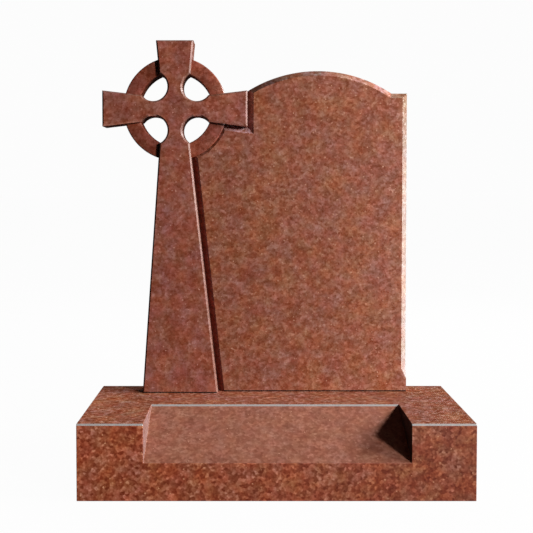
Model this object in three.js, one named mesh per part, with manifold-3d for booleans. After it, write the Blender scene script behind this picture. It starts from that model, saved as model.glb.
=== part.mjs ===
// Celtic cross headstone: an upright granite slab with a ringed cross and an arched tablet,
// on a granite base.
// Millimetres. X runs to the right along the front, Y runs from the front to the back, Z points up.
// The origin is the middle of the base's underside.

import * as THREE from 'three';
import { mergeVertices } from 'three/addons/utils/BufferGeometryUtils.js';
import { ConvexGeometry } from 'three/addons/geometries/ConvexGeometry.js';
import Module from 'manifold-3d';

const wasm = await Module();
wasm.setup();

// Driving dimensions of the base
const BASE_WIDTH = 914;
const BASE_DEPTH = 381;
const BASE_HEIGHT = 178;
const LEFT_BLOCK_WIDTH = 152.5;
const RIGHT_BLOCK_WIDTH = 148.5;
const RECESS_RUN = 181;
const RECESS_DROP = 90;
const BASE_ARRIS = 4;

// Driving dimensions of the headstone's seat on the base
const BACK_MARGIN = 7;
const FOOT_SHIFT = 5;
const BED_JOINT = 0.3;

// Driving dimensions of the slab
const SLAB_THICKNESS = 76;
const TABLET_SETBACK = 18;
const RING_SETBACK = 14;

// Driving dimensions of the cross, from its upright axis and its centre
const CROSS_CENTRE_HEIGHT = 742;
const UPPER_ARM_REACH = 175.5;
const SIDE_ARM_REACH = 188;
const UPPER_ARM_HALF_END = 48.5;
const UPPER_ARM_HALF_ROOT = 41;
const SIDE_ARM_HALF_END = 46.5;
const SIDE_ARM_HALF_ROOT = 35.5;
const RING_OUTER_RADIUS = 135;
const RING_INNER_RADIUS = 96;
const ARMPIT_RADIUS = 37.5;
const ARMPIT_OFFSET = 56.5;
const SHAFT_HALF_NECK = 43;
const SHAFT_LEFT_FOOT = 86;
const SHAFT_RIGHT_FOOT = 111;
const CROSS_ARRIS = 4;
const RING_ARRIS = 4;

// Driving dimensions of the tablet
const AXIS_TO_TABLET_SIDE = 606;
const SHOULDER_ABOVE_CENTRE = 41;
const SHOULDER_WIDTH = 41;
const ARCH_RISE = 58.5;
const ARCH_BITE = 9;
const TABLET_CHAMFER = 13;
const CHAMFER_STOP_HEIGHT = 34;
const CHAMFER_STOP_RUN = 27;
const CROSS_GROOVE = 16.5;
const RING_GROOVE = 6;
const FOOT_ARRIS = 3;

// How finely round stretches are cut, and how far a cutting tool runs past what it cuts
const RING_STEPS = 48;
const ARMPIT_STEPS = 9;
const ARCH_STEPS = 24;
const OVERCUT = 20;

// Heights in the headstone's own frame: its foot at zero, its back face at depth zero
const RING_FACE = SLAB_THICKNESS - RING_SETBACK;
const TABLET_FACE = SLAB_THICKNESS - TABLET_SETBACK;
const SHOULDER_HEIGHT = CROSS_CENTRE_HEIGHT + SHOULDER_ABOVE_CENTRE;

// Solids and geometries

function toSolid(geometry) {
  const bare = geometry.clone();
  bare.deleteAttribute('normal');
  bare.deleteAttribute('uv');
  const merged = mergeVertices(bare, 1e-4);
  const vertProperties = Float32Array.from(merged.attributes.position.array);
  const triVerts = Uint32Array.from(merged.index.array);
  return new wasm.Manifold(new wasm.Mesh({ numProp: 3, vertProperties, triVerts }));
}

function toGeometry(solid) {
  const mesh = solid.getMesh();
  const geometry = new THREE.BufferGeometry();
  geometry.setAttribute('position', new THREE.BufferAttribute(Float32Array.from(mesh.vertProperties), 3));
  geometry.setIndex(Array.from(mesh.triVerts));
  const flat = geometry.toNonIndexed();
  flat.computeVertexNormals();
  return flat;
}

function block(x0, x1, y0, y1, z0, z1) {
  const geometry = new THREE.BoxGeometry(x1 - x0, y1 - y0, z1 - z0);
  geometry.translate((x0 + x1) / 2, (y0 + y1) / 2, (z0 + z1) / 2);
  return toSolid(geometry);
}

// The convex solid around some corner points
function wedge(points) {
  return toSolid(new ConvexGeometry(points.map(([x, y, z]) => new THREE.Vector3(x, y, z))));
}

// A bar from x0 to x1 that takes the corner off a long front edge at depth y and height z.
// The cut meets both faces at `size` from the edge.
// `inward` is 1 where the stone lies above the edge, and -1 where it lies below.
function arrisCutter(x0, x1, y, z, size, inward) {
  const section = [
    [y - OVERCUT, z - inward * OVERCUT],
    [y - OVERCUT, z + inward * (size + OVERCUT)],
    [y + size + OVERCUT, z - inward * OVERCUT],
  ];
  return wedge([x0, x1].flatMap((x) => section.map(([depth, height]) => [x, depth, height])));
}

// A standing outline as an upright slab. Depth is counted from the back face towards the front.
// From `start` to `end` the slab is plain, and over `bevel` at its front end it narrows by `bevel`.
// With a negative `bevel` it starts at the outline and widens towards the front instead.
function slab(outline, start, end, bevel, curveSegments) {
  const size = Math.abs(bevel);
  const widens = bevel < 0;
  const geometry = new THREE.ExtrudeGeometry(outline, {
    depth: end - start - (widens ? size : 2 * size),
    bevelEnabled: size > 0,
    bevelThickness: size,
    bevelSize: size,
    bevelOffset: widens ? 0 : -size,
    bevelSegments: 1,
    curveSegments,
  });
  geometry.translate(0, 0, start + size);
  geometry.rotateX(Math.PI / 2);
  return toSolid(geometry);
}

// Outlines of the headstone, X from the cross's axis and Y upwards from the foot

// Where a straight edge from `a` to `b` last crosses the circle of an armpit on its way to `b`
function edgeMeetsArmpit(a, b, centre) {
  const along = b.clone().sub(a).normalize();
  const toCentre = centre.clone().sub(a);
  const middle = toCentre.dot(along);
  const distance = Math.abs(toCentre.cross(along));
  const half = Math.sqrt(ARMPIT_RADIUS ** 2 - distance ** 2);
  return a.clone().addScaledVector(along, middle - half);
}

function crossOutline() {
  const middle = CROSS_CENTRE_HEIGHT;
  const point = (x, y) => new THREE.Vector2(x, middle + y);
  const shaftHalf = (foot, y) => {
    const share = (-y - RING_OUTER_RADIUS) / (CROSS_CENTRE_HEIGHT - RING_OUTER_RADIUS);
    return SHAFT_HALF_NECK + (foot - SHAFT_HALF_NECK) * share;
  };
  const below = -CROSS_CENTRE_HEIGHT - OVERCUT;
  const root = -ARMPIT_OFFSET;
  // Each arm: the outer corner and a point near its root, on both sides
  const arms = [
    { right: [point(SIDE_ARM_REACH, SIDE_ARM_HALF_END), point(RING_INNER_RADIUS, SIDE_ARM_HALF_ROOT)],
      left: [point(UPPER_ARM_HALF_END, UPPER_ARM_REACH), point(UPPER_ARM_HALF_ROOT, RING_INNER_RADIUS)],
      armpit: point(ARMPIT_OFFSET, ARMPIT_OFFSET) },
    { right: [point(-UPPER_ARM_HALF_END, UPPER_ARM_REACH), point(-UPPER_ARM_HALF_ROOT, RING_INNER_RADIUS)],
      left: [point(-SIDE_ARM_REACH, SIDE_ARM_HALF_END), point(-RING_INNER_RADIUS, SIDE_ARM_HALF_ROOT)],
      armpit: point(-ARMPIT_OFFSET, ARMPIT_OFFSET) },
    { right: [point(-SIDE_ARM_REACH, -SIDE_ARM_HALF_END), point(-RING_INNER_RADIUS, -SIDE_ARM_HALF_ROOT)],
      left: [point(-shaftHalf(SHAFT_LEFT_FOOT, below), below),
        point(-shaftHalf(SHAFT_LEFT_FOOT, root), root)],
      armpit: point(-ARMPIT_OFFSET, -ARMPIT_OFFSET) },
    { right: [point(shaftHalf(SHAFT_RIGHT_FOOT, below), below),
      point(shaftHalf(SHAFT_RIGHT_FOOT, root), root)],
      left: [point(SIDE_ARM_REACH, -SIDE_ARM_HALF_END), point(RING_INNER_RADIUS, -SIDE_ARM_HALF_ROOT)],
      armpit: point(ARMPIT_OFFSET, -ARMPIT_OFFSET) },
  ];
  const shape = new THREE.Shape();
  arms.forEach(({ right, left, armpit }, index) => {
    const enter = edgeMeetsArmpit(...right, armpit);
    const leave = edgeMeetsArmpit(...left, armpit);
    const angle = (p) => Math.atan2(p.y - armpit.y, p.x - armpit.x);
    if (index > 0) shape.lineTo(right[0].x, right[0].y);
    shape.absarc(armpit.x, armpit.y, ARMPIT_RADIUS, angle(enter), angle(leave), true);
    shape.lineTo(left[0].x, left[0].y);
  });
  shape.lineTo(arms[0].right[0].x, arms[0].right[0].y);
  shape.closePath();
  return shape;
}

function discOutline(radius) {
  const shape = new THREE.Shape();
  shape.absarc(0, CROSS_CENTRE_HEIGHT, radius, 0, 2 * Math.PI, false);
  return shape;
}

function tabletOutline() {
  const side = AXIS_TO_TABLET_SIDE;
  const springRight = side - SHOULDER_WIDTH;
  const springLeft = SIDE_ARM_REACH - ARCH_BITE;
  const halfSpan = (springRight - springLeft) / 2;
  const radius = (halfSpan ** 2 + ARCH_RISE ** 2) / (2 * ARCH_RISE);
  const centreX = springLeft + halfSpan;
  const centreY = SHOULDER_HEIGHT + ARCH_RISE - radius;
  const lean = Math.asin(halfSpan / radius);
  const shape = new THREE.Shape();
  shape.moveTo(0, -OVERCUT);
  shape.lineTo(side, -OVERCUT);
  shape.lineTo(side, SHOULDER_HEIGHT);
  shape.absarc(centreX, centreY, radius, Math.PI / 2 - lean, Math.PI / 2 + lean, false);
  shape.lineTo(springLeft, CROSS_CENTRE_HEIGHT);
  shape.lineTo(0, CROSS_CENTRE_HEIGHT);
  shape.closePath();
  return shape;
}

// The headstone

// Below its stop the tablet's side keeps its square corner, and the chamfer runs out over CHAMFER_STOP_RUN
function chamferStop() {
  const side = AXIS_TO_TABLET_SIDE;
  const full = CHAMFER_STOP_HEIGHT + CHAMFER_STOP_RUN;
  const inner = side - TABLET_CHAMFER;
  const deep = TABLET_FACE - TABLET_CHAMFER;
  return wedge([
    [inner, -TABLET_FACE, -OVERCUT], [side, -TABLET_FACE, -OVERCUT], [side, -deep, -OVERCUT],
    [inner, -deep, -OVERCUT], [inner, -deep, full],
    [side, -TABLET_FACE, CHAMFER_STOP_HEIGHT], [inner, -TABLET_FACE, full], [side, -deep, full],
  ]);
}

function tablet() {
  const heart = slab(discOutline((RING_INNER_RADIUS + RING_OUTER_RADIUS) / 2),
    -2 * OVERCUT, SLAB_THICKNESS + OVERCUT, 0, RING_STEPS);
  const besideCross = slab(crossOutline(), TABLET_FACE - CROSS_GROOVE, SLAB_THICKNESS + OVERCUT,
    -CROSS_GROOVE, ARMPIT_STEPS);
  const besideRing = slab(discOutline(RING_OUTER_RADIUS), TABLET_FACE - RING_GROOVE, SLAB_THICKNESS + OVERCUT,
    -RING_GROOVE, RING_STEPS);
  const underFoot = arrisCutter(-OVERCUT, AXIS_TO_TABLET_SIDE + OVERCUT, -TABLET_FACE, 0, FOOT_ARRIS, 1);
  return slab(tabletOutline(), -OVERCUT, TABLET_FACE, TABLET_CHAMFER, ARCH_STEPS)
    .add(chamferStop())
    .subtract(heart)
    .subtract(besideCross)
    .subtract(besideRing)
    .subtract(underFoot);
}

function ring() {
  const outline = discOutline(RING_OUTER_RADIUS);
  const opening = new THREE.Path();
  opening.absarc(0, CROSS_CENTRE_HEIGHT, RING_INNER_RADIUS, 0, 2 * Math.PI, true);
  outline.holes.push(opening);
  return slab(outline, -OVERCUT, RING_FACE, RING_ARRIS, RING_STEPS);
}

function cross() {
  const reach = SIDE_ARM_REACH + OVERCUT;
  const underFoot = arrisCutter(-reach, reach, -SLAB_THICKNESS, 0, FOOT_ARRIS, 1);
  return slab(crossOutline(), -OVERCUT, SLAB_THICKNESS, CROSS_ARRIS, ARMPIT_STEPS).subtract(underFoot);
}

function headstoneGeometry() {
  const reach = AXIS_TO_TABLET_SIDE + SIDE_ARM_REACH;
  const sawn = block(-reach, reach, -SLAB_THICKNESS, 0, 0, CROSS_CENTRE_HEIGHT + UPPER_ARM_REACH);
  return toGeometry(tablet().add(ring()).add(cross()).intersect(sawn));
}

// The base

function baseGeometry() {
  const front = -BASE_DEPTH / 2;
  const left = -BASE_WIDTH / 2;
  const right = BASE_WIDTH / 2;
  const recessLeft = left + LEFT_BLOCK_WIDTH;
  const recessRight = right - RIGHT_BLOCK_WIDTH;
  const recessBack = front + RECESS_RUN;
  const slope = (RECESS_DROP - BASE_ARRIS) / (RECESS_RUN - BASE_ARRIS);
  const section = [
    [recessBack, BASE_HEIGHT + OVERCUT],
    [recessBack, BASE_HEIGHT],
    [recessBack - BASE_ARRIS, BASE_HEIGHT - BASE_ARRIS],
    [front, BASE_HEIGHT - RECESS_DROP],
    [front - OVERCUT, BASE_HEIGHT - RECESS_DROP - OVERCUT * slope],
    [front - OVERCUT, BASE_HEIGHT + OVERCUT],
  ];
  const recess = wedge([recessLeft, recessRight].flatMap((x) => section.map(([y, z]) => [x, y, z])));
  const frontArris = arrisCutter(left - OVERCUT, right + OVERCUT, front, BASE_HEIGHT, BASE_ARRIS, -1);
  const whole = block(left, right, front, BASE_DEPTH / 2, 0, BASE_HEIGHT);
  return toGeometry(whole.subtract(frontArris).subtract(recess));
}

// The model

const tabletGranite = new THREE.MeshStandardMaterial({ color: 0x91584a, roughness: 0.35, metalness: 0 });
const baseGranite = new THREE.MeshStandardMaterial({ color: 0x8a4c36, roughness: 0.35, metalness: 0 });

function headstone() {
  const mesh = new THREE.Mesh(headstoneGeometry(), tabletGranite);
  const footWidth = SHAFT_LEFT_FOOT + AXIS_TO_TABLET_SIDE;
  const axis = FOOT_SHIFT - footWidth / 2 + SHAFT_LEFT_FOOT;
  mesh.name = 'headstone';
  mesh.position.set(axis, BASE_DEPTH / 2 - BACK_MARGIN, BASE_HEIGHT + BED_JOINT);
  return mesh;
}

function base() {
  const mesh = new THREE.Mesh(baseGeometry(), baseGranite);
  mesh.name = 'base';
  return mesh;
}

const memorial = new THREE.Group();
memorial.add(base(), headstone());

export default memorial;
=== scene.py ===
"""Celtic cross headstone: the dressed model of an upright slab on its base.

The slab carries a ringed cross beside an arched tablet, and the base has a
recess cut in its front. Metres. X runs to the right along the front, Y runs
from the front to the back and Z points up.
"""

from __future__ import annotations

import logging
import math
from collections.abc import Callable
from dataclasses import dataclass, replace
from enum import Enum

import bmesh
import bpy
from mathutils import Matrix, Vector


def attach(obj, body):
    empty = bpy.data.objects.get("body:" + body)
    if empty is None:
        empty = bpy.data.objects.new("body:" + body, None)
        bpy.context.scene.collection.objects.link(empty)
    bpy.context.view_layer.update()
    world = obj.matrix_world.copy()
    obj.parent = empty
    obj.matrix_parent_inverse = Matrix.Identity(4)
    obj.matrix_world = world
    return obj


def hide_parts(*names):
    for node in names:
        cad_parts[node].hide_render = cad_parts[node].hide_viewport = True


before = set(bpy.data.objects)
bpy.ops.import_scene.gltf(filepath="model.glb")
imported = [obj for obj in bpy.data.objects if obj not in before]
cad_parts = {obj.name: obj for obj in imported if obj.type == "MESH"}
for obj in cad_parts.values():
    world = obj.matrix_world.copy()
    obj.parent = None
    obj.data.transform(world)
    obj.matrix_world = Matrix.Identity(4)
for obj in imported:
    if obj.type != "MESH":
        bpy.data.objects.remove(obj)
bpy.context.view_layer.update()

log = logging.getLogger("headstone")

Triple = tuple[float, float, float]
Colour = Triple
Point = tuple[float, float]
Socket = bpy.types.NodeSocket

SIDEWAYS = Vector((1.0, 0.0, 0.0))
BACKWARDS = Vector((0.0, 1.0, 0.0))
UP = Vector((0.0, 0.0, 1.0))
FRONT: Triple = (0.0, -1.0, 0.0)
SLANT = math.sqrt(0.5)  # both parts of a direction that leans 45 degrees


def linear(red: float, green: float, blue: float) -> Colour:
    """Turn a colour as a screen shows it, 0 to 255, into linear light.

    Args:
        red: Red as shown.
        green: Green as shown.
        blue: Blue as shown.

    Returns:
        The same colour as three linear shares.
    """
    def channel(value: float) -> float:
        """Linear share of one channel."""
        share = value / 255
        return share / 12.92 if share <= 0.04045 else ((share + 0.055) / 1.055) ** 2.4

    return channel(red), channel(green), channel(blue)


def put(name: str, data: bpy.types.ID) -> bpy.types.Object:
    """Make an object of some data and put it in the scene."""
    made = bpy.data.objects.new(name, data)
    bpy.context.scene.collection.objects.link(made)
    return made


def operator(operation: str, turned: bool = False) -> Callable[[Field, object], Field]:
    """Make an operator of fields that adds a Math node.

    Args:
        operation: What the node does, as Blender names it.
        turned: Whether the field is the second operand.

    Returns:
        The operator, as a method of a field.
    """
    def method(field: Field, other: object) -> Field:
        """Reckon with a field and something else."""
        pair = (other, field) if turned else (field, other)
        return field.reckon(operation, *pair)

    return method


class Field:
    """A number that varies over a surface, and adds Math nodes when it is reckoned with."""

    def __init__(self, recipe: Recipe, socket: Socket) -> None:
        """Wrap an output socket of a recipe's tree."""
        self.recipe = recipe
        self.socket = socket

    def reckon(self, operation: str, *operands: object) -> Field:
        """Add a Math node and return its result."""
        node = self.recipe.node(
            "ShaderNodeMath", {"operation": operation}, dict(enumerate(operands))
        )
        return Field(self.recipe, node.outputs[0])

    __add__ = __radd__ = operator("ADD")
    __sub__ = operator("SUBTRACT")
    __rsub__ = operator("SUBTRACT", turned=True)
    __mul__ = __rmul__ = operator("MULTIPLY")
    __gt__ = operator("GREATER_THAN")
    __lt__ = operator("LESS_THAN")

    def __neg__(self) -> Field:
        """The field with its sign turned."""
        return self.reckon("MULTIPLY", self, -1.0)

    def is_number(self, whole: int) -> Field:
        """One where the field is a whole number, otherwise nought."""
        return self.reckon("COMPARE", self, whole, 0.5)


class Recipe:
    """A node tree under construction."""

    def __init__(self, tree: bpy.types.NodeTree) -> None:
        """Start from an emptied tree."""
        self.tree = tree
        tree.nodes.clear()

    def node(
        self,
        kind: str,
        settings: dict[str, object] | None = None,
        sockets: dict[str | int, object] | None = None,
    ) -> bpy.types.Node:
        """Add a node.

        Args:
            kind: The node's type, as Blender names it.
            settings: Its properties, and for a ramp its stops, set first.
            sockets: A value, a link or a list of links for each input, by name or number.

        Returns:
            The new node.
        """
        made = self.tree.nodes.new(kind)
        for name, value in (settings or {}).items():
            if name == "stops":
                self._set_stops(made.color_ramp, value)
            else:
                setattr(made, name, value)
        for key, value in (sockets or {}).items():
            for one in value if isinstance(value, list) else [value]:
                self._feed(made.inputs[key], one)
        return made

    def _feed(self, socket: Socket, value: object) -> None:
        """Link or set one input."""
        source = value.socket if isinstance(value, Field) else value
        if isinstance(source, Socket):
            self.tree.links.new(source, socket)
        else:
            socket.default_value = source

    @staticmethod
    def _set_stops(ramp: bpy.types.ColorRamp, stops: tuple[tuple[float, Colour], ...]) -> None:
        """Give a colour ramp its stops."""
        while len(ramp.elements) < len(stops):
            ramp.elements.new(1.0)
        for element, (place, colour) in zip(ramp.elements, stops):
            element.position = place
            element.color = (*colour, 1.0)

    def field(self, kind: str, *parts: dict, output: str | int = 0) -> Field:
        """Add a node, as `node` does, and take one of its outputs as a field."""
        return Field(self, self.node(kind, *parts).outputs[output])

    def mix(
        self, share: object, first: object, second: object, blend: str = "MIX"
    ) -> Socket:
        """Mix two colours.

        Args:
            share: Share of the second colour.
            first: The first colour or its socket.
            second: The second colour or its socket.
            blend: How they meet, as Blender names it.

        Returns:
            The mixed colour's socket.
        """
        def rgba(value: object) -> object:
            """A plain colour gains its alpha."""
            return (*value, 1.0) if isinstance(value, tuple) else value

        settings = {"data_type": "RGBA", "blend_type": blend}
        made = self.node("ShaderNodeMix", settings, {0: share, 6: rgba(first), 7: rgba(second)})
        return made.outputs[2]

    def scaled(self, vector: Socket, size: object) -> Socket:
        """A vector or a colour times a number."""
        return self.node(
            "ShaderNodeVectorMath", {"operation": "SCALE"}, {0: vector, "Scale": size}
        ).outputs[0]

    def ask(self, *questions: tuple[str, str, object]) -> bpy.types.Node:
        """Give a geometry tree its named inputs and one geometry output.

        Args:
            questions: Each input's name, its socket type and its default, or None.

        Returns:
            The tree's input node.
        """
        for name, kind, default in questions:
            socket = self.tree.interface.new_socket(name, in_out="INPUT", socket_type=kind)
            if default is not None:
                socket.default_value = default
        self.tree.interface.new_socket("Stone", in_out="OUTPUT", socket_type="NodeSocketGeometry")
        return self.node("NodeGroupInput")

    def surface(self, shader: bpy.types.Node, of: str = "Material") -> None:
        """End a material's tree, or the world's."""
        self.node(f"ShaderNodeOutput{of}", {}, {"Surface": shader.outputs[0]})

    def answer(self, geometry: Socket) -> None:
        """End a geometry tree."""
        self.node("NodeGroupOutput", {}, {0: geometry})


def new_material(name: str) -> tuple[bpy.types.Material, Recipe]:
    """Start a material of a name, with an empty tree."""
    made = bpy.data.materials.new(name)
    made.use_nodes = True
    return made, Recipe(made.node_tree)


STONE_IOR = 1.52
ROUGHNESS_SPREAD = 0.10
FLECK_STRENGTH = 0.8
WANDER_PER_GRAIN = 0.6
GRAINS_PER_CLOUD = 3.5
WARM_PATCH_WIDTH = 1.7
PATCH_ENDS = (0.34, 0.66)
RED_PATCHES = ((-0.05, 0.10, 0.16), (0.05, -0.13, -0.20))
WARM_PATCHES = ((-0.05, -0.05, 0.14), (0.05, 0.05, -0.14))


class Surface(Enum):
    """How a face of the stone is worked."""

    POLISHED = "polished"
    HONED = "honed"


@dataclass(frozen=True)
class Granite:
    """Red granite, with its grains and its polish.

    Attributes:
        name: The material's name.
        tones: Colours of the grains from the darkest to the lightest, each with its place.
        grain: Width of a common grain.
        fine: Width of the small grains between them.
        fine_share: How much of the tone comes from the small grains.
        soft: How far neighbouring grains run into each other.
        warp: How far the edge of a grain wanders.
        cloud: How much lighter and darker clouds count beside the grains.
        contrast: How far the tones spread from the middle one.
        patch: Width of the patches that lean towards red or towards brown.
        patch_strength: How far those patches lean.
        flecks: Share of the small grains that are pale flecks.
        fleck_colour: Colour of a pale fleck.
        surface: How the face is worked.
        rough: Roughness of the face.
        shade: Brightness of each channel, which in several finishes carries painted light or shade.
        painted_light_slope: Painted light: colour made lighter per metre to the right, darker if
            negative.
        seed: Where in the block the pattern is taken from.
    """

    name: str
    tones: tuple[tuple[float, Colour], ...]
    grain: float = 0.0068
    fine: float = 0.0036
    fine_share: float = 0.30
    soft: float = 0.5
    warp: float = 0.0012
    cloud: float = 0.85
    contrast: float = 0.57
    patch: float = 0.030
    patch_strength: float = 0.85
    flecks: float = 0.015
    fleck_colour: Colour = linear(186, 132, 112)
    surface: Surface = Surface.POLISHED
    rough: float = 0.30
    shade: Colour = (1.0, 1.0, 1.0)
    painted_light_slope: float = 0.0
    seed: float = 0.0

    def _grains(self, recipe: Recipe, place: Socket, width: float) -> tuple[Field, Field]:
        """Give each grain of a width two random numbers.

        Args:
            recipe: The material's tree.
            place: Where on the stone.
            width: How wide the grains are.

        Returns:
            The first and the second number.
        """
        cells = recipe.node(
            "ShaderNodeTexVoronoi",
            {"feature": "SMOOTH_F1"},
            {"Vector": place, "Scale": 1 / width, "Smoothness": self.soft},
        )
        parts = recipe.node("ShaderNodeSeparateColor", {}, {0: cells.outputs["Color"]}).outputs
        return Field(recipe, parts[0]), Field(recipe, parts[1])

    def _drift(self, recipe: Recipe, place: Socket, width: float) -> Field:
        """A number that drifts slowly around a half."""
        sockets = {"Vector": place, "Scale": 1 / width, "Detail": 2.0}
        return recipe.field("ShaderNodeTexNoise", {}, sockets)

    def _tint(self, recipe: Recipe, drift: Field, tints: tuple[Colour, Colour]) -> Socket:
        """A tint that leans one way where the drift is low and the other way where it is high."""
        stops = tuple(
            (place, tuple(1 + self.patch_strength * part for part in tint))
            for place, tint in zip(PATCH_ENDS, tints)
        )
        return recipe.node("ShaderNodeValToRGB", {"stops": stops}, {0: drift}).outputs[0]

    def material(self) -> bpy.types.Material:
        """Build the material, whose pattern is fixed in the stone."""
        made, recipe = new_material(self.name)
        spot = recipe.node("ShaderNodeTexCoord").outputs["Object"]
        place = recipe.node(
            "ShaderNodeMapping", {}, {"Vector": spot, "Location": (self.seed, self.seed, 0.0)}
        ).outputs[0]
        wander = recipe.node(
            "ShaderNodeTexNoise",
            {},
            {"Vector": place, "Scale": WANDER_PER_GRAIN / self.grain, "Detail": 1.0},
        ).outputs["Color"]
        centred = recipe.node(
            "ShaderNodeVectorMath", {"operation": "SUBTRACT"}, {0: wander, 1: (0.5, 0.5, 0.5)}
        ).outputs[0]
        bent = recipe.node(
            "ShaderNodeVectorMath",
            {"operation": "MULTIPLY_ADD"},
            {0: centred, 1: (self.warp,) * 3, 2: place},
        ).outputs[0]
        coarse, _ = self._grains(recipe, bent, self.grain)
        fine, pick = self._grains(recipe, bent, self.fine)
        cloud = self._drift(recipe, place, GRAINS_PER_CLOUD * self.grain)
        grains = (1 - self.fine_share) * coarse + self.fine_share * fine
        spread = grains - 0.5 + self.cloud * (cloud - 0.5)
        tone = 0.5 + self.contrast * spread
        colour = recipe.node("ShaderNodeValToRGB", {"stops": self.tones}, {0: tone}).outputs[0]
        red = self._tint(recipe, self._drift(recipe, place, self.patch), RED_PATCHES)
        colour = recipe.mix(1.0, colour, red, "MULTIPLY")
        warm_drift = self._drift(recipe, bent, WARM_PATCH_WIDTH * self.patch)
        colour = recipe.mix(1.0, colour, self._tint(recipe, warm_drift, WARM_PATCHES), "MULTIPLY")
        pale = pick < self.flecks
        colour = recipe.mix(FLECK_STRENGTH * pale, colour, self.fleck_colour)
        colour = recipe.mix(1.0, colour, self.shade, "MULTIPLY")
        # Painted light: the colour grows lighter towards the block's right, or darker where the slope
        # is negative.
        along = recipe.field("ShaderNodeSeparateXYZ", {}, {0: spot}, output="X")
        colour = recipe.scaled(colour, 1 + self.painted_light_slope * along)
        rough = self.rough + ROUGHNESS_SPREAD * (fine - 0.5)
        shader = recipe.node(
            "ShaderNodeBsdfPrincipled",
            {},
            {"Base Color": colour, "Roughness": rough, "IOR": STONE_IOR},
        )
        if self.surface is Surface.HONED:
            tooth = recipe.node(
                "ShaderNodeBump", {}, {"Strength": 0.15, "Distance": 0.0004, "Height": fine}
            )
            recipe.tree.links.new(tooth.outputs[0], shader.inputs["Normal"])
        recipe.surface(shader)
        return made


@dataclass(frozen=True)
class PlainFinish:
    """A finish of one colour that is a little cloudy.

    Attributes:
        name: The material's name.
        colour: Its colour.
        rough: Its roughness.
    """

    name: str
    colour: Colour
    rough: float = 0.6

    def material(self) -> bpy.types.Material:
        """Build the material."""
        made, recipe = new_material(self.name)
        place = recipe.node("ShaderNodeTexCoord").outputs["Object"]
        cloud = recipe.field(
            "ShaderNodeTexNoise", {}, {"Vector": place, "Scale": 180.0, "Detail": 3.0}
        )
        darker = tuple(0.8 * part for part in self.colour)
        colour = recipe.mix(cloud, darker, tuple(1.2 * part for part in self.colour))
        shader = recipe.node(
            "ShaderNodeBsdfPrincipled",
            {},
            {"Base Color": colour, "Roughness": self.rough + 0.1 * cloud},
        )
        recipe.surface(shader)
        return made


Finish = Granite | PlainFinish


def tones(red: int, green: int, blue: int) -> tuple[tuple[float, Colour], ...]:
    """Spread the tones of a granite evenly around its middle colour.

    Args:
        red: Red of the middle, as a screen shows it.
        green: Its green.
        blue: Its blue.

    Returns:
        The tones from the darkest to the lightest, each with its place.
    """
    steps = ((0.06, -40), (0.32, -17), (0.52, 0), (0.72, 18), (0.96, 48))
    return tuple(
        (place, linear(red + step, green + 1.05 * step, blue + 1.15 * step))
        for place, step in steps
    )


TABLET_TONES = tones(141, 83, 64)
BASE_TONES = tones(138, 74, 52)

# Painted light: the tablet's colour, and that of the finishes made from it, grows lighter towards the
# right.
TABLET_GRANITE = Granite("tablet_stone", TABLET_TONES, painted_light_slope=0.48, shade=(0.96, 0.99, 0.95))
# Painted highlight: a paler, cooler tone on the tablet's side and shoulder chamfers.
TABLET_EDGE_HIGHLIGHT_GRANITE = replace(
    TABLET_GRANITE, name="tablet_edge_stone", painted_light_slope=0.4, shade=(0.80, 1.38, 1.60)
)
# Painted highlight and shade on the arch's chamfer: a steep gradient makes its right half pale and its
# left half dark.
ARCH_EDGE_LIGHT_AND_SHADE_GRANITE = replace(
    TABLET_GRANITE, name="arch_edge_stone", painted_light_slope=5.0, shade=(0.58, 0.77, 0.94)
)
# Painted light: the cross and its ring are painted lighter towards the right, like the tablet.
CROSS_GRANITE = replace(
    TABLET_GRANITE, name="cross_stone", painted_light_slope=0.35, shade=(0.985, 0.94, 1.03), cloud=1.2,
    contrast=0.50
)
# Painted highlight: a paler, cooler tone on the cross's sides and arrises, so the lit right-hand
# arrises read as a pale line.
CROSS_EDGE_HIGHLIGHT_GRANITE = replace(
    CROSS_GRANITE, name="cross_edge_stone", shade=(0.72, 0.89, 1.06), patch_strength=0.5, rough=0.45
)
# Painted light: a much paler tone on the cross's down-facing faces, lifting the shade under the arms.
CROSS_UNDER_LIGHT_GRANITE = replace(CROSS_EDGE_HIGHLIGHT_GRANITE, name="cross_under_stone", shade=(2.4, 3.0, 3.7))
RING_GRANITE = replace(CROSS_GRANITE, name="ring_stone", shade=(0.82, 0.64, 0.61))
# Painted shade: a dark, deep red tone in the groove beside the cross.
GROOVE_SHADE_GRANITE = replace(
    TABLET_GRANITE, name="groove_stone", shade=(0.87, 0.333, 0.23), flecks=0.0
)
# Painted light: a lighter tone on the groove's wall beside the right arm's tip, lifting its shade.
TIP_GROOVE_LIGHT_GRANITE = replace(GROOVE_SHADE_GRANITE, name="tip_groove_stone", shade=(1.15, 1.05, 1.25))
# Painted light: a pale tone on the groove's up-facing slope under the arms, where the arms' shadow
# falls.
SHELF_LIGHT_GRANITE = replace(TABLET_GRANITE, name="shelf_stone", shade=(1.25, 2.2, 3.3))
# Painted shade and light: the base is painted darker towards its right, evening out the lamps' falloff.
BASE_GRANITE = Granite(
    "base_stone", BASE_TONES, grain=0.0070, fine=0.0038, flecks=0.008, contrast=0.92, cloud=0.5,
    fleck_colour=linear(192, 140, 116), rough=0.50, painted_light_slope=-0.36, seed=3.0,
    patch_strength=1.0, shade=(1.10, 0.99, 0.80)
)
# Painted light: a paler, less red tone on the base's upward faces, standing in for light from above.
BASE_TOP_LIGHT_GRANITE = replace(
    BASE_GRANITE, name="base_top_stone", shade=(1.03, 1.28, 1.39), contrast=0.82, grain=0.0076,
    fine=0.0042
)
RECESS_GRANITE = Granite(
    "recess_stone", TABLET_TONES, seed=3.0, surface=Surface.HONED, rough=0.8, contrast=0.48,
    cloud=1.0, patch_strength=0.45, flecks=0.006, shade=(0.82, 0.83, 0.76)
)
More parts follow.
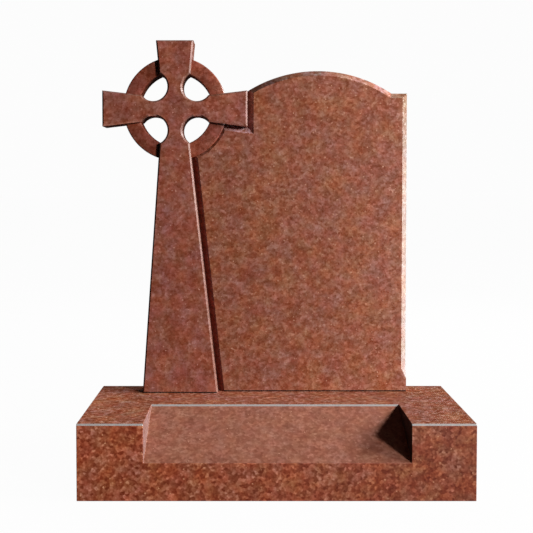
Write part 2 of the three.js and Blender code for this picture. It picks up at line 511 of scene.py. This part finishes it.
# Painted light: a paler tone on the recess's left wall, which faces the right-hand lamps.
CHEEK_LIGHT_GRANITE = replace(
    RECESS_GRANITE, name="cheek_stone", patch_strength=0.3, flecks=0.0, shade=(0.80, 1.22, 1.70)
)
# Painted shadow: a near-black tone on the recess's right wall.
CHEEK_SHADOW_GRANITE = replace(CHEEK_LIGHT_GRANITE, name="dark_cheek_stone", shade=(0.12, 0.07, 0.07))
# Painted highlight: pale grey on the base's front arris and the recess's back arris.
ARRIS_HIGHLIGHT = PlainFinish("pale_arris", linear(146, 140, 138), 0.35)
# A near-black finish on the foot arris, drawing a dark line along the slab's foot.
FOOT_LINE = PlainFinish("bed_joint", linear(14, 12, 16), 0.8)


@dataclass
class Outline:
    """A closed outline that one face of a block is cut to.

    Attributes:
        name: What it is the outline of.
        points: Its corners in order, anticlockwise as seen from where the block grows to.
        across: The direction of a point's first number. Its second number goes up.
    """

    name: str
    points: list[Point]
    across: Vector

    def insets(self) -> list[Vector]:
        """Find how each corner moves when all edges step inwards by one.

        Returns:
            One vector for each corner.
        """
        moves = []
        count = len(self.points)
        for index, point in enumerate(self.points):
            before = Vector(point) - Vector(self.points[index - 1])
            after = Vector(self.points[(index + 1) % count]) - Vector(point)
            first = Vector((-before.y, before.x)).normalized()
            second = Vector((-after.y, after.x)).normalized()
            step = (first + second) / (1 + first.dot(second))
            moves.append(self.across * step.x + UP * step.y)
        return moves

    def face(self) -> bpy.types.Object:
        """Make the outline one flat face that knows its inward steps.

        Returns:
            An object for the geometry trees to start from.
        """
        mesh = bpy.data.meshes.new(self.name)
        corners = [self.across * point[0] + UP * point[1] for point in self.points]
        mesh.from_pydata(corners, [], [range(len(corners))])
        steps = mesh.attributes.new("inset", "FLOAT_VECTOR", "POINT")
        steps.data.foreach_set("vector", [part for step in self.insets() for part in step])
        return put(self.name, mesh)


def arc(centre: Point, radius: float, start: float, end: float, steps: int) -> list[Point]:
    """Step along an arc.

    Args:
        centre: The arc's centre.
        radius: Its radius.
        start: The angle of its first point.
        end: The angle of its last point, below `start` for a clockwise arc.
        steps: How many chords it has.

    Returns:
        Its points, both ends included.
    """
    turns = [start + (end - start) * step / steps for step in range(steps + 1)]
    return [(centre[0] + radius * math.cos(t), centre[1] + radius * math.sin(t)) for t in turns]


NUMBER = "NodeSocketFloat"
VECTOR = "NodeSocketVector"
GEOMETRY = "NodeSocketGeometry"
THING = "NodeSocketObject"
COUNT = "NodeSocketInt"


def block_tree() -> bpy.types.NodeTree:
    """Build the geometry tree that grows a block from an outline, in two runs.

    Returns:
        The tree. It sets the outline at Start along Way. The block grows from there by
        First run, while its outline steps inwards by First step, and then by Second run
        and Second step in the same manner. A negative step widens it.
    """
    tree = bpy.data.node_groups.new("block_from_outline", "GeometryNodeTree")
    recipe = Recipe(tree)
    given = recipe.ask(
        ("Outline", GEOMETRY, None),
        ("Way", VECTOR, (0.0, -1.0, 0.0)),
        ("Start", NUMBER, 0.0),
        ("First run", NUMBER, 0.01),
        ("First step", NUMBER, 0.0),
        ("Second run", NUMBER, 0.01),
        ("Second step", NUMBER, 0.0),
    ).outputs
    inset = recipe.node(
        "GeometryNodeInputNamedAttribute", {"data_type": "FLOAT_VECTOR"}, {"Name": "inset"}
    ).outputs[0]

    def moved(geometry: Socket, offset: Socket, chosen: object = True) -> Socket:
        """Geometry with the chosen points moved."""
        sockets = {"Geometry": geometry, "Selection": chosen, "Offset": offset}
        return recipe.node("GeometryNodeSetPosition", {}, sockets).outputs[0]

    root = moved(given["Outline"], recipe.scaled(given["Way"], given["Start"]))
    grown, chosen = root, True
    for run, step in (("First run", "First step"), ("Second run", "Second step")):
        sockets = {
            "Mesh": grown, "Selection": chosen, "Offset": given["Way"],
            "Offset Scale": given[run], "Individual": False,
        }
        pulled = recipe.node("GeometryNodeExtrudeMesh", {"mode": "FACES"}, sockets)
        chosen = pulled.outputs["Top"]
        grown = moved(pulled.outputs["Mesh"], recipe.scaled(inset, given[step]), chosen)
    closing = recipe.node("GeometryNodeFlipFaces", {}, {"Mesh": root}).outputs[0]
    both = recipe.node("GeometryNodeJoinGeometry", {}, {0: [grown, closing]}).outputs[0]
    sealed = recipe.node(
        "GeometryNodeMergeByDistance", {}, {"Geometry": both, "Distance": 0.00001}
    ).outputs[0]
    recipe.answer(sealed)
    return tree


class Carving:
    """A geometry tree of blocks that are joined and cut."""

    def __init__(self, name: str, blocks: bpy.types.NodeTree) -> None:
        """Start an empty tree of a name."""
        self.tree = bpy.data.node_groups.new(name, "GeometryNodeTree")
        self.recipe = Recipe(self.tree)
        self.blocks = blocks
        self.finishes: list[Finish] = []

    def block(self, outline: Socket, **sizes: object) -> Socket:
        """Grow a block from an outline.

        Args:
            outline: The outline's geometry.
            sizes: The block tree's other inputs, with underscores for spaces.

        Returns:
            The block's geometry.
        """
        named = {name.replace("_", " ").capitalize(): value for name, value in sizes.items()}
        return self.recipe.node(
            "GeometryNodeGroup", {"node_tree": self.blocks}, {"Outline": outline, **named}
        ).outputs[0]

    def outline_of(self, thing: Socket) -> Socket:
        """The geometry of an object input."""
        return self.recipe.node("GeometryNodeObjectInfo", {}, {"Object": thing}).outputs["Geometry"]

    def dressed(
        self,
        geometry: Socket,
        finish: Finish,
        facing: Triple | None = None,
        least: float = 0.97,
        most: float = 2.0,
    ) -> Socket:
        """Mark faces for their finish, in a way that lasts through every cut.

        Args:
            geometry: The stone.
            finish: The finish.
            facing: The way that the dressed faces look, or None for all faces.
            least: How near that way a face must look, as the cosine of the angle.
            most: How near it may look at most.

        Returns:
            The marked stone.
        """
        if finish not in self.finishes:
            self.finishes.append(finish)
        place = self.finishes.index(finish)
        sockets = {"Geometry": geometry, "Name": "finish", "Value": place}
        if facing:
            way = self.recipe.node("GeometryNodeInputNormal").outputs[0]
            along = self.recipe.node(
                "ShaderNodeVectorMath", {"operation": "DOT_PRODUCT"}, {0: way, 1: facing}
            ).outputs["Value"]
            near = Field(self.recipe, along)
            sockets["Selection"] = (near > least) * (near < most)
        settings = {"data_type": "INT", "domain": "FACE"}
        return self.recipe.node("GeometryNodeStoreNamedAttribute", settings, sockets).outputs[0]

    def placed(self, geometry: Socket, at: object, turn: Triple = (0.0, 0.0, 0.0)) -> Socket:
        """Geometry turned and then moved."""
        return self.recipe.node(
            "GeometryNodeTransform", {}, {"Geometry": geometry, "Translation": at, "Rotation": turn}
        ).outputs[0]

    def _boolean(self, operation: str, sockets: dict[str | int, object]) -> Socket:
        """Join, cut or intersect stones."""
        settings = {"operation": operation, "solver": "MANIFOLD"}
        return self.recipe.node("GeometryNodeMeshBoolean", settings, sockets).outputs[0]

    def cut(self, stone: Socket, *cutters: Socket) -> Socket:
        """The stone without its cutters."""
        return self._boolean("DIFFERENCE", {"Mesh 1": stone, "Mesh 2": list(cutters)})

    def joined(self, *parts: Socket) -> Socket:
        """Parts grown together into one stone."""
        return self._boolean("UNION", {"Mesh 2": list(parts)})

    def common(self, *parts: Socket) -> Socket:
        """What all the parts have in common."""
        return self._boolean("INTERSECT", {"Mesh 2": list(parts)})

    def finish(self, geometry: Socket) -> None:
        """End the tree, with every face in the finish that it is marked for."""
        stone = self.recipe.node("GeometryNodeRealizeInstances", {}, {0: geometry}).outputs[0]
        mark = self.recipe.field(
            "GeometryNodeInputNamedAttribute", {"data_type": "INT"}, {"Name": "finish"}
        )
        for place, finish in enumerate(self.finishes):
            stone = self.recipe.node(
                "GeometryNodeSetMaterial",
                {},
                {"Geometry": stone, "Selection": mark.is_number(place), "Material": finish.material()},
            ).outputs[0]
        self.recipe.answer(stone)


def bake(
    seed: bpy.types.Object, carving: Carving, answers: dict[str, object], name: str
) -> bpy.types.Object:
    """Run a carving on an object and keep the result as a plain mesh.

    Args:
        seed: The object whose mesh the tree starts from.
        carving: The tree.
        answers: Values for its named inputs.
        name: The finished piece's name.

    Returns:
        The finished piece, with no modifier left on it.
    """
    modifier = seed.modifiers.new(name, "NODES")
    modifier.node_group = carving.tree
    for socket in carving.tree.interface.items_tree:
        if socket.in_out == "INPUT" and socket.name in answers:
            modifier[socket.identifier] = answers[socket.name]
    graph = bpy.context.evaluated_depsgraph_get()
    mesh = bpy.data.meshes.new_from_object(
        seed.evaluated_get(graph), preserve_all_data_layers=True, depsgraph=graph
    )
    seed.modifiers.clear()
    for spare in ("inset", "finish"):
        if spare in mesh.attributes:
            mesh.attributes.remove(mesh.attributes[spare])
    keep_worn_slots(mesh)
    mesh.name = name
    bpy.data.objects.remove(seed)
    return put(name, mesh)


def keep_worn_slots(mesh: bpy.types.Mesh) -> None:
    """Drop the material slots that no face wears."""
    worn = sorted({face.material_index for face in mesh.polygons})
    finishes = [mesh.materials[index] for index in worn]
    places = [worn.index(face.material_index) for face in mesh.polygons]
    mesh.materials.clear()
    for finish in finishes:
        mesh.materials.append(finish)
    mesh.polygons.foreach_set("material_index", places)


def polish_edges(piece: bpy.types.Object, width: float) -> None:
    """Ease the sharp edges of a stone by a hair's width and smooth its curves."""
    work = bmesh.new()
    work.from_mesh(piece.data)
    bmesh.ops.remove_doubles(work, verts=work.verts, dist=0.00002)
    bmesh.ops.dissolve_limit(
        work, angle_limit=math.radians(0.3), verts=work.verts, edges=work.edges, delimit={"MATERIAL"}
    )
    work.to_mesh(piece.data)
    work.free()
    piece.data.shade_smooth()
    ease = piece.modifiers.new("ease", "BEVEL")
    ease.width = width
    ease.segments = 2
    ease.limit_method = "ANGLE"
    ease.angle_limit = math.radians(28)
    ease.harden_normals = True
    ease.use_clamp_overlap = True


@dataclass
class Headstone:
    """The upright slab: a ringed cross and an arched tablet cut from one stone.

    Heights are from its foot and depths from its back. Sideways sizes are from the
    upright axis of the cross.
    """

    axis: float = -0.255
    foot: float = 0.1783
    back: float = 0.1835
    thickness: float = 0.076
    tablet_face: float = 0.058
    ring_face: float = 0.062
    centre_height: float = 0.742
    upper_arm_reach: float = 0.1755
    side_arm_reach: float = 0.188
    upper_arm_half_end: float = 0.0485
    upper_arm_half_root: float = 0.041
    side_arm_half_end: float = 0.0465
    side_arm_half_root: float = 0.0355
    ring_outer: float = 0.135
    ring_inner: float = 0.096
    armpit_radius: float = 0.0375
    armpit_offset: float = 0.0565
    shaft_half_neck: float = 0.043
    shaft_left_foot: float = 0.086
    shaft_right_foot: float = 0.111
    cross_arris: float = 0.004
    ring_arris: float = 0.004
    tablet_side: float = 0.606
    shoulder_above_centre: float = 0.041
    shoulder_width: float = 0.041
    arch_rise: float = 0.0585
    arch_bite: float = 0.009
    tablet_chamfer: float = 0.013
    chamfer_stop: float = 0.034
    chamfer_stop_run: float = 0.027
    cross_groove: float = 0.0165
    ring_groove: float = 0.006
    foot_arris: float = 0.003
    overcut: float = 0.02
    easing: float = 0.0012
    sliver: float = 0.0001
    sawn_width: float = 3.0
    ring_steps: int = 192
    armpit_steps: int = 28
    arch_steps: int = 96

    def _armpit_cut(self, corner: Vector, root: Vector, armpit: Vector) -> Vector:
        """Find where an arm's edge runs into the round of an armpit.

        Args:
            corner: The arm's outer corner.
            root: A point of the same edge near its root.
            armpit: The round's centre.

        Returns:
            The first point that the edge and the round share.
        """
        along = (root - corner).normalized()
        towards = armpit - corner
        middle = towards.dot(along)
        off = abs(towards.cross(along))
        return corner + along * (middle - math.sqrt(self.armpit_radius**2 - off**2))

    def cross_outline(self) -> Outline:
        """Draw the cross, with its round armpits and its spreading shaft."""
        middle = self.centre_height

        def shaft_edge(foot: float) -> list[Point]:
            """Two points of a side of the shaft, counted sideways and down from the centre."""
            edge = []
            for down in (middle + self.overcut, self.armpit_offset):
                share = (down - self.ring_outer) / (middle - self.ring_outer)
                edge.append((self.shaft_half_neck + (foot - self.shaft_half_neck) * share, down))
            return edge

        side = (
            (self.side_arm_reach, self.side_arm_half_end), (self.ring_inner, self.side_arm_half_root)
        )
        top = (
            (self.upper_arm_half_end, self.upper_arm_reach), (self.upper_arm_half_root, self.ring_inner)
        )
        quarters = (
            (side, top, 1, 1),
            (top, side, -1, 1),
            (side, shaft_edge(self.shaft_left_foot), -1, -1),
            (shaft_edge(self.shaft_right_foot), side, 1, -1),
        )
        points = []
        for enter, leave, right, up in quarters:
            def spot(point: Point) -> Vector:
                """A place in this quarter."""
                return Vector((right * point[0], middle + up * point[1]))

            armpit = spot((self.armpit_offset, self.armpit_offset))
            angles = []
            for corner, root in (enter, leave):
                cut = self._armpit_cut(spot(corner), spot(root), armpit) - armpit
                angles.append(math.atan2(cut.y, cut.x))
            start, end = angles
            if end > start:
                end -= 2 * math.pi
            points.append(tuple(spot(enter[0])))
            points += arc(tuple(armpit), self.armpit_radius, start, end, self.armpit_steps)
            points.append(tuple(spot(leave[0])))
        return Outline("cross_outline", points, SIDEWAYS)

    def tablet_outline(self) -> Outline:
        """Draw the tablet, with its arched top and its level shoulder."""
        shoulder = self.centre_height + self.shoulder_above_centre
        right = self.tablet_side - self.shoulder_width
        left = self.side_arm_reach - self.arch_bite
        half = (right - left) / 2
        radius = (half**2 + self.arch_rise**2) / (2 * self.arch_rise)
        centre = (left + half, shoulder + self.arch_rise - radius)
        lean = math.asin(half / radius)
        points = [
            (0.0, -self.overcut),
            (self.tablet_side, -self.overcut),
            (self.tablet_side, shoulder),
            *arc(centre, radius, math.pi / 2 - lean, math.pi / 2 + lean, self.arch_steps),
            (left, self.centre_height),
            (0.0, self.centre_height),
        ]
        return Outline("tablet_outline", points, SIDEWAYS)

    def foot_arris_section(self, face: float) -> Outline:
        """Draw what is cut away along the foot of a front face, as cut across."""
        over, size = self.overcut, self.foot_arris
        points = [(-face - over, -over), (-face + size + over, -over), (-face - over, size + over)]
        return Outline("foot_arris", points, BACKWARDS)

    def chamfer_stop_points(self) -> bpy.types.Object:
        """Set out the corners of the stone left standing below the side chamfer's stop."""
        side, face, size = self.tablet_side, -self.tablet_face, self.tablet_chamfer
        full = self.chamfer_stop + self.chamfer_stop_run
        inner, deep = side - size, face + size
        corners = [
            (inner, face, -self.overcut), (side, face, -self.overcut), (side, deep, -self.overcut),
            (inner, deep, -self.overcut), (inner, deep, full), (side, face, self.chamfer_stop),
            (inner, face, full), (side, deep, full),
        ]
        mesh = bpy.data.meshes.new("chamfer_stop")
        mesh.from_pydata(corners, [], [])
        return put("chamfer_stop", mesh)

    def sizes(self) -> dict[str, float]:
        """The sizes that the carving asks for, by the names of its inputs."""
        return {
            "Thickness": self.thickness,
            "Tablet face": self.tablet_face,
            "Ring face": self.ring_face,
            "Centre height": self.centre_height,
            "Ring outer radius": self.ring_outer,
            "Ring inner radius": self.ring_inner,
            "Ring arris": self.ring_arris,
            "Cross arris": self.cross_arris,
            "Tablet chamfer": self.tablet_chamfer,
            "Cross groove": self.cross_groove,
            "Ring groove": self.ring_groove,
            "Overcut": self.overcut,
            "Height": self.centre_height + self.upper_arm_reach,
        }

    def carving(self, blocks: bpy.types.NodeTree) -> Carving:
        """Build the tree that carves the slab."""
        work = Carving("carved_headstone", blocks)
        given = work.recipe.ask(
            ("Cross outline", GEOMETRY, None),
            ("Tablet outline", THING, None),
            ("Chamfer stop", THING, None),
            ("Tablet foot", THING, None),
            ("Cross foot", THING, None),
            ("Origin", VECTOR, (0.0, 0.0, 0.0)),
            *[(name, NUMBER, size) for name, size in self.sizes().items()],
            ("Steps round", COUNT, self.ring_steps),
        ).outputs

        size = {name: Field(work.recipe, given[name]) for name in self.sizes()}
        over, tall, broad = size["Overcut"], size["Thickness"], size["Tablet face"]
        chamfer, arris = size["Tablet chamfer"], size["Cross arris"]
        flank, groove = size["Cross groove"], size["Ring groove"]
        outer, inner = size["Ring outer radius"], size["Ring inner radius"]
        centre, height, ring_face = size["Centre height"], size["Height"], size["Ring face"]
        middle = 0.5 * (outer + inner)
        upright = (math.pi / 2, 0.0, 0.0)

        def vector(x: object, y: object, z: object) -> Socket:
            """Three numbers as one vector."""
            return work.recipe.node("ShaderNodeCombineXYZ", {}, {0: x, 1: y, 2: z}).outputs[0]

        def drum(low: object, high: object, narrow: object, wide: object) -> Socket:
            """A round block on the cross's centre, from one depth to another."""
            sockets = {
                "Vertices": given["Steps round"], "Radius Bottom": narrow, "Radius Top": wide,
                "Depth": high - low,
            }
            cone = work.recipe.node("GeometryNodeMeshCone", {}, sockets).outputs["Mesh"]
            return work.placed(cone, vector(0.0, -low, centre), upright)

        def foot_cut(body: Socket, section: str) -> Socket:
            """A body with the arris along its foot taken off and its faces there finished near-black.
            """
            bar = work.block(
                work.outline_of(given[section]), way=SIDEWAYS, start=-1.0, first_run=1.0, second_run=1.0
            )
            return work.cut(body, work.dressed(bar, FOOT_LINE))

        tablet = work.block(
            work.outline_of(given["Tablet outline"]), start=-over, first_run=broad + over - chamfer,
            second_run=chamfer, second_step=chamfer,
        )
        stop = work.recipe.node(
            "GeometryNodeConvexHull", {}, {0: work.outline_of(given["Chamfer stop"])}
        ).outputs[0]
        tablet = work.dressed(work.joined(tablet, stop), TABLET_GRANITE)
        # The tablet's chamfers wear a painted highlight.
        tablet = work.dressed(tablet, TABLET_EDGE_HIGHLIGHT_GRANITE, FRONT, least=0.2, most=0.9)
        # The arch's chamfer wears a painted highlight on its right half and painted shade on its left.
        tablet = work.dressed(
            tablet, ARCH_EDGE_LIGHT_AND_SHADE_GRANITE, (0.0, -SLANT, SLANT), least=0.85, most=0.9999
        )
        beside_cross = work.block(
            given["Cross outline"], start=broad - flank, first_run=flank, first_step=-flank,
            second_run=over + over,
        )
        # The groove beside the cross wears painted shade.
        beside_cross = work.dressed(beside_cross, GROOVE_SHADE_GRANITE)
        # Painted light on the groove's wall beside the right arm's tip.
        beside_cross = work.dressed(
            beside_cross, TIP_GROOVE_LIGHT_GRANITE, (SLANT, SLANT, 0.0), least=0.998
        )
        # Painted light on the groove's up-facing slope under the arms.
        beside_cross = work.dressed(beside_cross, SHELF_LIGHT_GRANITE, (0.0, SLANT, -SLANT))
        drums = (
            drum(-2.0 * over, tall + over, middle, middle),
            drum(broad - groove, broad, outer, outer + groove),
            drum(broad - self.sliver, tall + over, outer + groove, outer + groove),
        )
        drums = [work.dressed(each, TABLET_GRANITE) for each in drums]
        tablet = work.cut(tablet, beside_cross, *drums)

        cross = work.block(
            given["Cross outline"], start=-over, first_run=tall + over - arris, second_run=arris,
            second_step=arris,
        )
        # The cross's sides and arrises wear a painted highlight tone.
        cross = work.dressed(cross, CROSS_EDGE_HIGHLIGHT_GRANITE)
        # The cross's down-facing faces are painted paler, painted light in the shade under the arms.
        for below in ((0.0, 0.0, -1.0), (0.0, -SLANT, -SLANT)):
            cross = work.dressed(cross, CROSS_UNDER_LIGHT_GRANITE, below, least=0.985)
        cross = work.dressed(cross, CROSS_GRANITE, FRONT)

        oblong = {"Width": outer - inner, "Height": ring_face + over}
        section = work.recipe.node(
            "GeometryNodeFilletCurve",
            {"mode": "POLY"},
            {
                "Curve": work.recipe.node(
                    "GeometryNodeCurvePrimitiveQuadrilateral", {}, oblong
                ).outputs[0],
                "Count": 3,
                "Radius": given["Ring arris"],
            },
        ).outputs[0]
        circle = work.recipe.node(
            "GeometryNodeCurvePrimitiveCircle",
            {"mode": "RADIUS"},
            {"Resolution": given["Steps round"], "Radius": middle},
        ).outputs[0]
        ring = work.recipe.node(
            "GeometryNodeCurveToMesh", {}, {"Curve": circle, "Profile Curve": section}
        ).outputs[0]
        ring = work.placed(ring, vector(0.0, -0.5 * (ring_face - over), centre), upright)

        sawn = work.recipe.node(
            "GeometryNodeMeshCube", {}, {"Size": vector(self.sawn_width, tall + over, height)}
        ).outputs["Mesh"]
        sawn = work.placed(sawn, vector(0.0, -0.5 * (tall + over), 0.5 * height))
        stone = work.joined(
            foot_cut(tablet, "Tablet foot"),
            work.dressed(ring, RING_GRANITE),
            foot_cut(cross, "Cross foot"),
        )
        stone = work.common(stone, work.dressed(sawn, TABLET_GRANITE))
        work.finish(work.placed(stone, given["Origin"]))
        return work

    def build(self, blocks: bpy.types.NodeTree) -> bpy.types.Object:
        """Carve the headstone and put it in its node's place."""
        helpers = {
            "Tablet outline": self.tablet_outline().face(),
            "Chamfer stop": self.chamfer_stop_points(),
            "Tablet foot": self.foot_arris_section(self.tablet_face).face(),
            "Cross foot": self.foot_arris_section(self.thickness).face(),
        }
        origin = Vector((self.axis, self.back, self.foot))
        answers = {**helpers, "Origin": origin, **self.sizes()}
        stone = bake(self.cross_outline().face(), self.carving(blocks), answers, "carved_headstone")
        for helper in helpers.values():
            bpy.data.objects.remove(helper)
        polish_edges(stone, self.easing)
        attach(stone, "root")
        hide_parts("headstone")
        return stone


@dataclass
class Base:
    """The block that the headstone stands on, with a recess cut in its front."""

    width: float = 0.914
    depth: float = 0.381
    height: float = 0.178
    left_block: float = 0.1525
    right_block: float = 0.1485
    recess_run: float = 0.181
    recess_drop: float = 0.090
    arris: float = 0.004
    overcut: float = 0.02
    easing: float = 0.0012

    def block_section(self) -> Outline:
        """Draw the block as cut across, with the arris along its front edge."""
        front, back = -self.depth / 2, self.depth / 2
        points = [
            (front, 0.0), (back, 0.0), (back, self.height),
            (front + self.arris, self.height), (front, self.height - self.arris),
        ]
        return Outline("block_section", points, BACKWARDS)

    def recess_section(self) -> Outline:
        """Draw what is cut away for the recess, as cut across."""
        front = -self.depth / 2
        back = front + self.recess_run
        floor = self.height - self.recess_drop
        slope = (self.recess_drop - self.arris) / (self.recess_run - self.arris)
        points = [
            (front - self.overcut, floor - self.overcut * slope),
            (back - self.arris, self.height - self.arris),
            (back, self.height),
            (back, self.height + self.overcut),
            (front - self.overcut, self.height + self.overcut),
        ]
        return Outline("recess_section", points, BACKWARDS)

    def build(self, blocks: bpy.types.NodeTree) -> bpy.types.Object:
        """Cut the base and put it in its node's place."""
        sizes = {
            "Width": self.width, "Left block": self.left_block, "Right block": self.right_block
        }
        work = Carving("cut_base", blocks)
        given = work.recipe.ask(
            ("Block section", GEOMETRY, None),
            ("Recess section", THING, None),
            *[(name, NUMBER, size) for name, size in sizes.items()],
        ).outputs
        width, left, right = (Field(work.recipe, given[name]) for name in sizes)
        half = 0.5 * width
        whole = work.block(
            given["Block section"], way=SIDEWAYS, start=-half, first_run=half, second_run=half
        )
        span = width - left - right
        recess_body = work.block(
            work.outline_of(given["Recess section"]), way=SIDEWAYS, start=left - half,
            first_run=0.5 * span, second_run=0.5 * span,
        )
        recess_body = work.dressed(recess_body, RECESS_GRANITE)
        # The recess's left wall wears painted light.
        recess_body = work.dressed(recess_body, CHEEK_LIGHT_GRANITE, (-1.0, 0.0, 0.0))
        # The recess's right wall wears painted shadow.
        recess_body = work.dressed(recess_body, CHEEK_SHADOW_GRANITE, (1.0, 0.0, 0.0))
        # The base's upward faces wear painted light.
        whole = work.dressed(work.dressed(whole, BASE_GRANITE), BASE_TOP_LIGHT_GRANITE, (0.0, 0.0, 1.0))
        stone = work.cut(whole, recess_body)
        # The base's front and recess arrises wear a painted highlight.
        work.finish(work.dressed(stone, ARRIS_HIGHLIGHT, (0.0, -SLANT, SLANT)))
        recess_face = self.recess_section().face()
        answers = {"Recess section": recess_face, **sizes}
        stone = bake(self.block_section().face(), work, answers, "cut_base")
        bpy.data.objects.remove(recess_face)
        polish_edges(stone, self.easing)
        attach(stone, "root")
        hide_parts("base")
        return stone


@dataclass(frozen=True)
class Lamp:
    """A soft box that faces the stone.

    Attributes:
        name: Its name.
        at: Where it hangs.
        power: Its power in watts.
        size: Its width and height.
        downward: Whether it faces the floor instead.
        mirrored: Whether the polished stone shows it.
    """

    name: str
    at: Triple
    power: float
    size: Point
    downward: bool = False
    mirrored: bool = True


LAMPS = (
    Lamp("key_box", (5.1507, -5.5531, 3.0754), 578.0, (1.0, 1.0)),
    Lamp("rake_box", (5.3773, -1.8821, 2.3821), 300.0, (1.2, 1.2)),
    Lamp("side_box", (5.3612, -0.2681, 3.1806), 330.0, (1.2, 1.2)),
    Lamp("edge_box", (3.0, 0.35, 0.5), 23.0, (1.0, 1.0)),
    Lamp("low_fill", (1.5, -3.0, 0.12), 4.0, (1.0, 0.2)),
    Lamp("top_strip", (0.62, 0.28, 1.88), 0.2, (0.6, 0.12), downward=True),
    Lamp("back_box", (0.6, 3.0, 2.0), 60.0, (1.5, 1.5), mirrored=False),
)
WHITE = (1.0, 1.0, 1.0, 1.0)


@dataclass
class Studio:
    """Floor, lights and camera."""

    floor_half: float = 40.0
    aim: Triple = (0.0, 0.0, 0.5)
    camera_at: Triple = (-0.0641, -2.180, 0.7242)
    camera_dip: float = math.radians(1.968)
    focal_px: float = 881.3
    image_px: float = 533.0
    centre_px: Point = (248.5, 214.4)
    backdrop_tone: float = 0.975
    backdrop_light: float = 0.01
    floor_glow: float = 0.972
    floor_tone: float = 0.012
    floor_drop: float = 0.0005

    def light(self) -> None:
        """Hang the lamps."""
        for lamp in LAMPS:
            data = bpy.data.lights.new(lamp.name, "AREA")
            data.shape = "RECTANGLE"
            data.size, data.size_y = lamp.size
            data.energy = lamp.power
            made = put(lamp.name, data)
            made.location = lamp.at
            if not lamp.downward:
                towards = Vector(self.aim) - Vector(lamp.at)
                made.rotation_euler = towards.to_track_quat("-Z", "Y").to_euler()
            made.visible_camera = False
            made.visible_glossy = lamp.mirrored

    def surround(self) -> None:
        """Put up a pale backdrop that lights the stone only a little."""
        world = bpy.data.worlds.new("studio")
        bpy.context.scene.world = world
        world.use_nodes = True
        recipe = Recipe(world.node_tree)
        seen = recipe.field("ShaderNodeLightPath", output="Is Camera Ray")
        pale = (*(self.backdrop_tone,) * 3, 1.0)
        backdrop = recipe.node("ShaderNodeBackground", {}, {"Color": pale})
        dim = recipe.node(
            "ShaderNodeBackground", {}, {"Color": WHITE, "Strength": self.backdrop_light}
        )
        mixed = recipe.node(
            "ShaderNodeMixShader", {}, {0: seen, 1: dim.outputs[0], 2: backdrop.outputs[0]}
        )
        recipe.surface(mixed, "World")

    def floor(self) -> None:
        """Lay a plain pale floor."""
        half = self.floor_half
        mesh = bpy.data.meshes.new("floor")
        corners = [(-half, -half, 0), (half, -half, 0), (half, half, 0), (-half, half, 0)]
        mesh.from_pydata(corners, [], [(0, 1, 2, 3)])
        made = put("floor", mesh)
        made.location.z = -self.floor_drop
        paint, recipe = new_material("pale_floor")
        seen = recipe.field("ShaderNodeLightPath", output="Is Camera Ray")
        dark = (*(self.floor_tone,) * 3, 1.0)
        matt = recipe.node("ShaderNodeBsdfDiffuse", {}, {"Color": dark})
        glow = recipe.node(
            "ShaderNodeEmission", {}, {"Color": WHITE, "Strength": seen * self.floor_glow}
        )
        both = recipe.node("ShaderNodeAddShader", {}, {0: matt.outputs[0], 1: glow.outputs[0]})
        recipe.surface(both)
        mesh.materials.append(paint)

    def camera(self) -> None:
        """Set the camera at the photograph's viewing angle."""
        data = bpy.data.cameras.new("camera")
        data.sensor_width = 36.0
        data.lens = self.focal_px / self.image_px * data.sensor_width
        data.shift_x = (self.image_px / 2 - self.centre_px[0]) / self.image_px
        data.shift_y = (self.centre_px[1] - self.image_px / 2) / self.image_px
        data.clip_end = 200.0
        made = put("camera", data)
        made.location = self.camera_at
        made.rotation_euler = (math.pi / 2 - self.camera_dip, 0.0, 0.0)
        bpy.context.scene.camera = made

    def build(self) -> None:
        """Set up everything around the stone."""
        self.camera()
        self.light()
        self.surround()
        self.floor()
        bpy.context.scene.view_settings.view_transform = "Standard"


def report(piece: bpy.types.Object) -> None:
    """Log a piece's name and size."""
    size = ", ".join(f"{edge * 1000:.1f}" for edge in piece.dimensions)
    log.info("%s: %d faces, %s mm", piece.name, len(piece.data.polygons), size)


def main() -> None:
    """Build and dress the stone, set up the studio and note the sizes."""
    logging.basicConfig(level=logging.INFO, format="%(name)s: %(message)s")
    blocks = block_tree()
    report(Headstone().build(blocks))
    report(Base().build(blocks))
    Studio().build()


if __name__ == "__main__":
    main()
